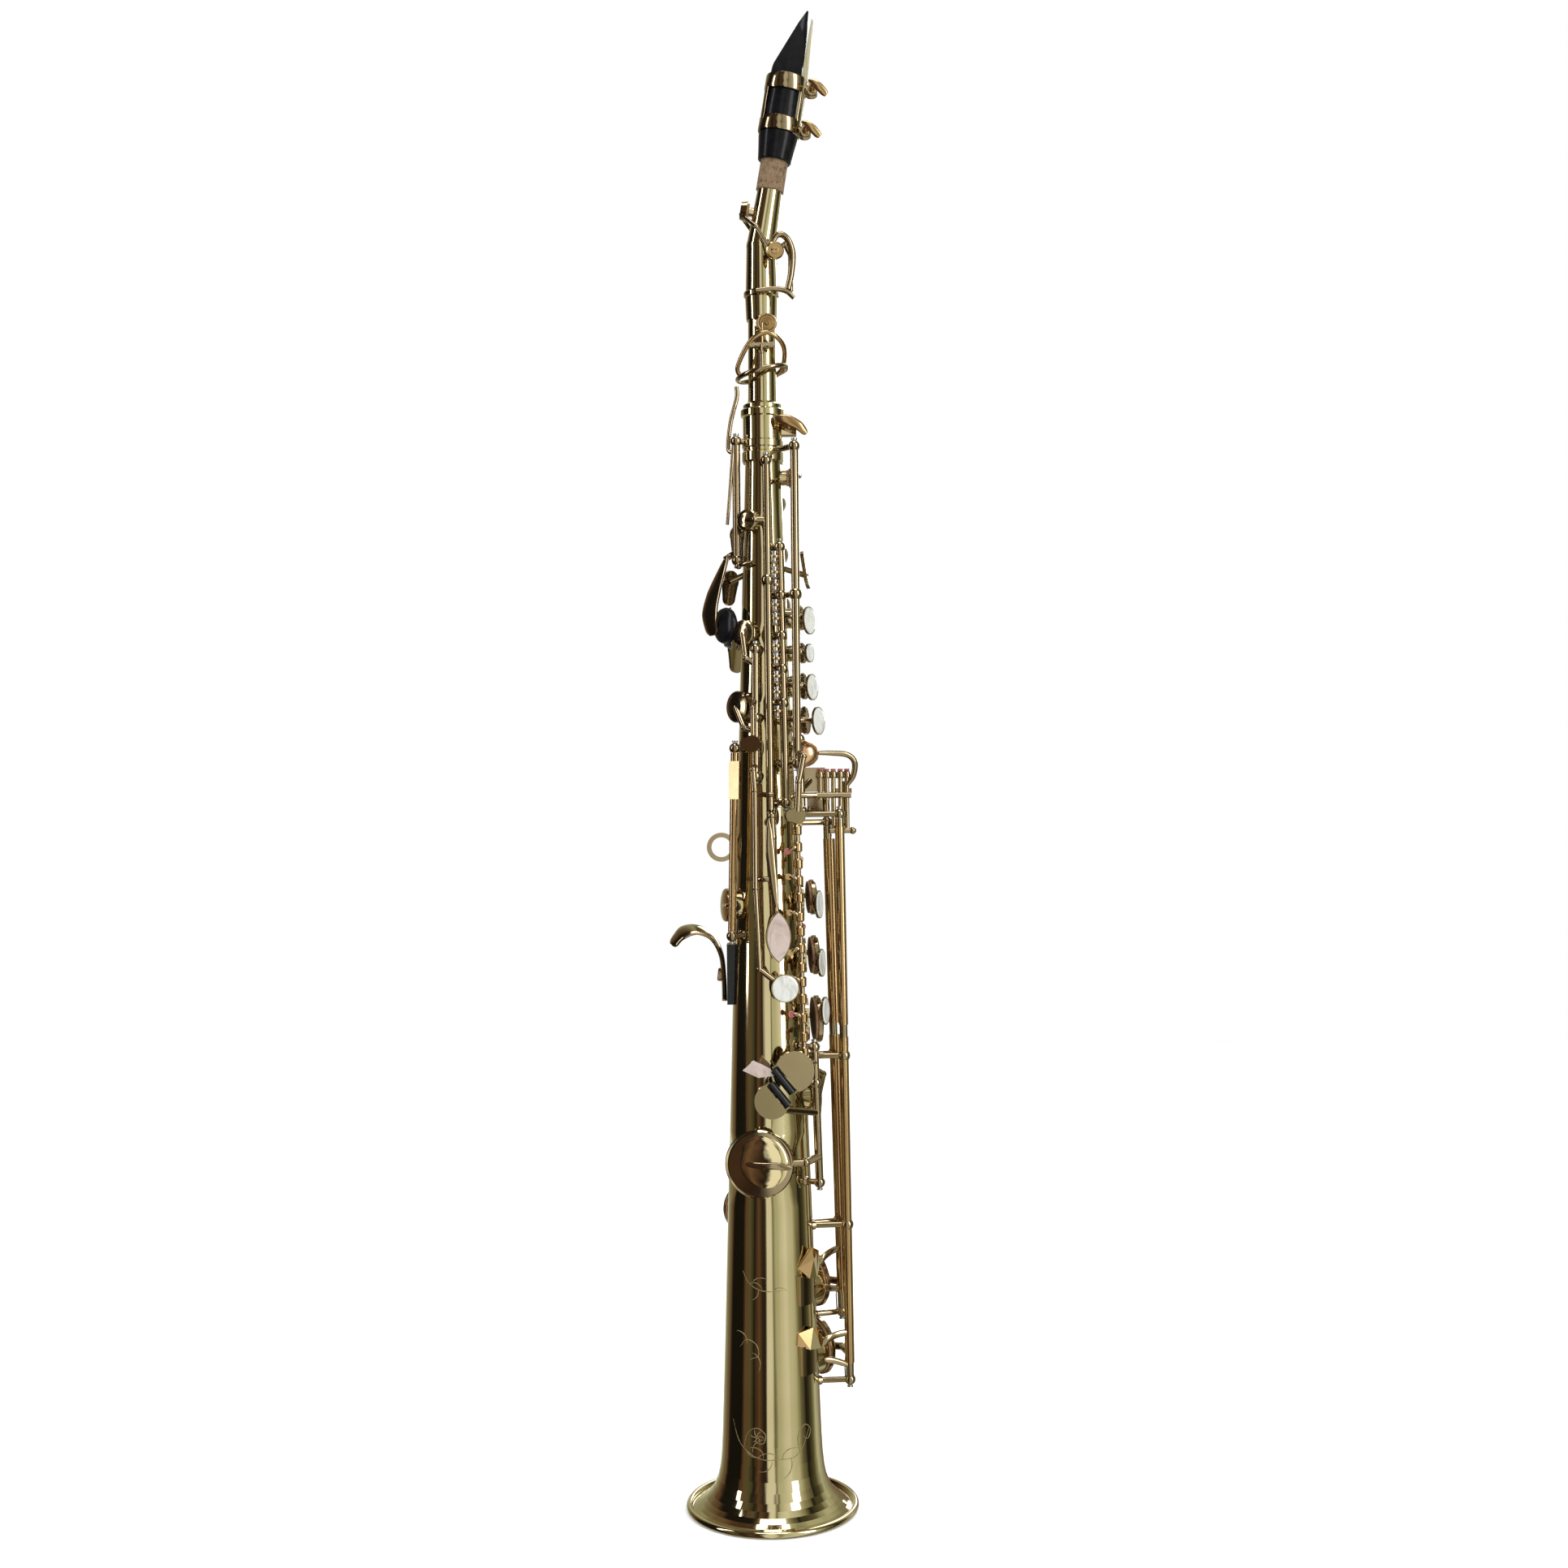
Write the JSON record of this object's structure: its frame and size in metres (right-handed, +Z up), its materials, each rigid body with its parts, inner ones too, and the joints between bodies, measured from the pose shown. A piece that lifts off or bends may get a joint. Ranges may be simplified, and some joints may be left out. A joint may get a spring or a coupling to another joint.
{
  "type": "soprano saxophone",
  "caption": "Straight soprano saxophone in lacquered brass, with a detachable neck, black mouthpiece, cane reed, ligature and a full set of hinged, padded keys.",
  "frame": {"origin": "centre of the bell mouth, in the plane of the rolled rim", "axes": "+Z up the body to the mouthpiece, +X the front of the horn where the key stacks are, +Y the player's left"},
  "size_m": [0.0892, 0.0832, 0.7204],
  "materials": {
    "brass": "polished, gold lacquer",
    "steel": "blued needle and rod steel, polished",
    "ebonite": "polished hard rubber",
    "cane": "natural cane",
    "cork": "greased cork",
    "black_plate": "gloss",
    "black_rest": "satin",
    "felt": "felt"
  },
  "bodies": {
    "horn_body": {"body_tube": "brass", "bell_rim": "brass", "neck_receiver": "brass", "key_posts_upper": "brass", "key_posts_lower": "brass", "hinge_rods": "steel", "strap_ring": "brass", "thumb_hook": "brass", "thumb_hook_plate": "black_plate", "thumb_rest": "black_rest", "key_guards": "brass", "guard_felts": "felt"},
    "receiver_screw": {"receiver_screw": "brass"},
    "neck": {"neck_tube": "brass", "neck_ferrule": "brass", "neck_cork": "cork", "neck_posts": "brass", "neck_pivots": "steel"},
    "neck_octave_key": {"neck_octave_key": "brass"},
    "neck_vent_key": {"neck_vent_key": "brass"},
    "mouthpiece": {"mouthpiece": "ebonite", "reed": "cane", "ligature": "brass"},
    "ligature_screw_upper": {"ligature_screw_upper": "brass"},
    "ligature_screw_lower": {"ligature_screw_lower": "brass"},
    "low_eb_key": {"low_eb_key": "brass"},
    "low_c_key": {"low_c_key": "brass"},
    "low_eb_roller": {"low_eb_rollers": "black_rest"},
    "low_c_roller": {"low_c_rollers": "black_rest"},
    "octave_thumb_key": {"octave_thumb_key": "brass"},
    "palm_d_key": {"palm_d_key": "brass"},
    "palm_eb_key": {"palm_eb_key": "brass"},
    "palm_f_key": {"palm_f_key": "brass"},
    "front_f_key": {"front_f_key": "brass"},
    "b_key": {"b_key": "brass"},
    "bis_key": {"bis_key": "brass"},
    "a_key": {"a_key": "brass"},
    "g_key": {"g_key": "brass"},
    "g_sharp_key": {"g_sharp_key": "brass"},
    "high_e_key": {"high_e_key": "brass"},
    "side_c_key": {"side_c_key": "brass"},
    "side_bb_key": {"side_bb_key": "brass"},
    "high_f_sharp_key": {"high_f_sharp_key": "brass"},
    "rear_trill_key": {"rear_trill_key": "brass"},
    "f_key": {"f_key": "brass"},
    "e_key": {"e_key": "brass"},
    "d_key": {"d_key": "brass"},
    "low_c_sharp_key": {"low_c_sharp_key": "brass"},
    "low_b_key": {"low_b_key": "brass"},
    "low_bb_key": {"low_bb_key": "brass"}
  },
  "joints": [
    {"name": "receiver_screw_turn", "type": "hinge", "parent": "horn_body", "child": "receiver_screw", "pos_m": [0.013, 0, 0.5215], "axis": [0, -1, 0], "range_deg": [-20, 70]},
    {"name": "neck_swivel", "type": "hinge", "parent": "horn_body", "child": "neck", "pos_m": [0, 0, 0.52], "axis": [0, 0, 1], "range_deg": [-8, 8]},
    {"name": "mouthpiece_tuning", "type": "slide", "parent": "neck", "child": "mouthpiece", "axis": [0.165, 0, 0.9863], "range_m": [-0.001, 0.006]},
    {"name": "ligature_screw_upper_turn", "type": "hinge", "parent": "mouthpiece", "child": "ligature_screw_upper", "pos_m": [0.02568, 0, 0.68369], "axis": [0, -1, 0], "range_deg": [-30, 30]},
    {"name": "ligature_screw_lower_turn", "type": "hinge", "parent": "mouthpiece", "child": "ligature_screw_lower", "pos_m": [0.02235, 0, 0.66376], "axis": [0, -1, 0], "range_deg": [-30, 30]},
    {"name": "neck_octave_lift", "type": "hinge", "parent": "neck", "child": "neck_octave_key", "pos_m": [0.0054, 0, 0.6037], "axis": [0, -1, 0], "range_deg": [0, 6], "stiffness_Nm_per_rad": 0.02},
    {"name": "neck_vent_lift", "type": "hinge", "parent": "neck", "child": "neck_vent_key", "pos_m": [0, -0.0102, 0.5595], "axis": [1, 0, 0], "range_deg": [0, 9], "stiffness_Nm_per_rad": 0.02},
    {"name": "low_eb_roller_spin", "type": "hinge", "parent": "low_eb_key", "child": "low_eb_roller", "pos_m": [0.00699, -0.02961, 0.20991], "axis": [0.6058, 0.1168, -0.787], "continuous": true},
    {"name": "low_c_roller_spin", "type": "hinge", "parent": "low_c_key", "child": "low_c_roller", "pos_m": [0.0052, -0.03193, 0.20392], "axis": [0.6139, 0.0515, -0.7877], "continuous": true},
    {"name": "octave_thumb_lift", "type": "hinge", "parent": "horn_body", "child": "octave_thumb_key", "pos_m": [-0.01286, -0.00443, 0.459], "axis": [0, 0, 1], "range_deg": [0, 9], "stiffness_Nm_per_rad": 0.02},
    {"name": "palm_d_lift", "type": "hinge", "parent": "horn_body", "child": "palm_d_key", "pos_m": [-0.00348, 0.01637, 0.427], "axis": [0.0068, -0.0318, 0.9995], "range_deg": [0, 12], "stiffness_Nm_per_rad": 0.02},
    {"name": "palm_eb_lift", "type": "hinge", "parent": "horn_body", "child": "palm_eb_key", "pos_m": [-0.00331, 0.01558, 0.452], "axis": [0.0068, -0.0318, 0.9995], "range_deg": [0, 12], "stiffness_Nm_per_rad": 0.02},
    {"name": "palm_f_lift", "type": "hinge", "parent": "horn_body", "child": "palm_f_key", "pos_m": [-0.00314, 0.01478, 0.477], "axis": [0.0068, -0.0318, 0.9995], "range_deg": [0, 12], "stiffness_Nm_per_rad": 0.02},
    {"name": "front_f_press", "type": "hinge", "parent": "horn_body", "child": "front_f_key", "pos_m": [0.00803, -0.01576, 0.441], "axis": [-0.0147, 0.0289, 0.9995], "range_deg": [0, 7], "stiffness_Nm_per_rad": 0.02},
    {"name": "b_press", "type": "hinge", "parent": "horn_body", "child": "b_key", "pos_m": [0.00832, -0.01632, 0.4215], "axis": [-0.0147, 0.0289, 0.9995], "range_deg": [0, 8], "stiffness_Nm_per_rad": 0.02},
    {"name": "bis_press", "type": "hinge", "parent": "horn_body", "child": "bis_key", "pos_m": [0.00855, -0.01677, 0.406], "axis": [-0.0147, 0.0289, 0.9995], "range_deg": [0, 8], "stiffness_Nm_per_rad": 0.02},
    {"name": "a_press", "type": "hinge", "parent": "horn_body", "child": "a_key", "pos_m": [0.00879, -0.01725, 0.3895], "axis": [-0.0147, 0.0289, 0.9995], "range_deg": [0, 8], "stiffness_Nm_per_rad": 0.02},
    {"name": "g_press", "type": "hinge", "parent": "horn_body", "child": "g_key", "pos_m": [0.00949, -0.01862, 0.342], "axis": [-0.0147, 0.0289, 0.9995], "range_deg": [0, 8], "stiffness_Nm_per_rad": 0.02},
    {"name": "g_sharp_lift", "type": "hinge", "parent": "horn_body", "child": "g_sharp_key", "pos_m": [0.01726, 0.01448, 0.338], "axis": [-0.0249, -0.0209, 0.9995], "range_deg": [0, 8], "stiffness_Nm_per_rad": 0.02},
    {"name": "high_e_lift", "type": "hinge", "parent": "horn_body", "child": "high_e_key", "pos_m": [0.00213, -0.02028, 0.333], "axis": [-0.0034, 0.0323, 0.9995], "range_deg": [0, 9], "stiffness_Nm_per_rad": 0.02},
    {"name": "side_c_lift", "type": "hinge", "parent": "horn_body", "child": "side_c_key", "pos_m": [-0.00453, -0.01817, 0.3845], "axis": [0.0079, 0.0315, 0.9995], "range_deg": [0, 5], "stiffness_Nm_per_rad": 0.02},
    {"name": "side_bb_lift", "type": "hinge", "parent": "horn_body", "child": "side_bb_key", "pos_m": [-0.00476, -0.0191, 0.355], "axis": [0.0079, 0.0315, 0.9995], "range_deg": [0, 8], "stiffness_Nm_per_rad": 0.02},
    {"name": "high_f_sharp_lift", "type": "hinge", "parent": "horn_body", "child": "high_f_sharp_key", "pos_m": [0.01502, -0.01923, 0.361], "axis": [0, 0, -1], "range_deg": [0, 8], "stiffness_Nm_per_rad": 0.02},
    {"name": "rear_trill_lift", "type": "hinge", "parent": "horn_body", "child": "rear_trill_key", "pos_m": [-0.01668, -0.01502, 0.279], "axis": [0.0241, 0.0217, 0.9995], "range_deg": [0, 8], "stiffness_Nm_per_rad": 0.02},
    {"name": "f_press", "type": "hinge", "parent": "horn_body", "child": "f_key", "pos_m": [0.01404, 0.01797, 0.2835], "axis": [0.02, 0.0256, -0.9995], "range_deg": [0, 6], "stiffness_Nm_per_rad": 0.02},
    {"name": "e_press", "type": "hinge", "parent": "horn_body", "child": "e_key", "pos_m": [0.01464, 0.01874, 0.2535], "axis": [0.02, 0.0256, -0.9995], "range_deg": [0, 6], "stiffness_Nm_per_rad": 0.02},
    {"name": "d_press", "type": "hinge", "parent": "horn_body", "child": "d_key", "pos_m": [0.01526, 0.01953, 0.2225], "axis": [0.02, 0.0256, -0.9995], "range_deg": [0, 6], "stiffness_Nm_per_rad": 0.02},
    {"name": "low_eb_lift", "type": "hinge", "parent": "horn_body", "child": "low_eb_key", "pos_m": [0.02246, -0.01194, 0.2085], "axis": [0.0287, -0.0152, -0.9995], "range_deg": [0, 8], "stiffness_Nm_per_rad": 0.02},
    {"name": "low_c_press", "type": "hinge", "parent": "horn_body", "child": "low_c_key", "pos_m": [0.02383, -0.01267, 0.161], "axis": [0.0287, -0.0152, -0.9995], "range_deg": [0, 4], "stiffness_Nm_per_rad": 0.05},
    {"name": "low_c_sharp_lift", "type": "hinge", "parent": "horn_body", "child": "low_c_sharp_key", "pos_m": [0.00599, 0.02816, 0.13], "axis": [0.0068, 0.0318, -0.9995], "range_deg": [0, 8], "stiffness_Nm_per_rad": 0.05},
    {"name": "low_b_press", "type": "hinge", "parent": "horn_body", "child": "low_b_key", "pos_m": [0.03458, 0.012, 0.096], "axis": [-0.0212, 0, 0.9998], "range_deg": [0, 6.4], "stiffness_Nm_per_rad": 0.05},
    {"name": "low_bb_press", "type": "hinge", "parent": "horn_body", "child": "low_bb_key", "pos_m": [0.03808, 0.003, 0.062], "axis": [-0.0096, 0, 1], "range_deg": [0, 6.4], "stiffness_Nm_per_rad": 0.05}
  ],
  "couplings": [
    {"joint": "neck_vent_lift", "follows": "octave_thumb_lift", "ratio": 1},
    {"joint": "neck_octave_lift", "follows": "octave_thumb_lift", "ratio": 0.6667}
  ]
}
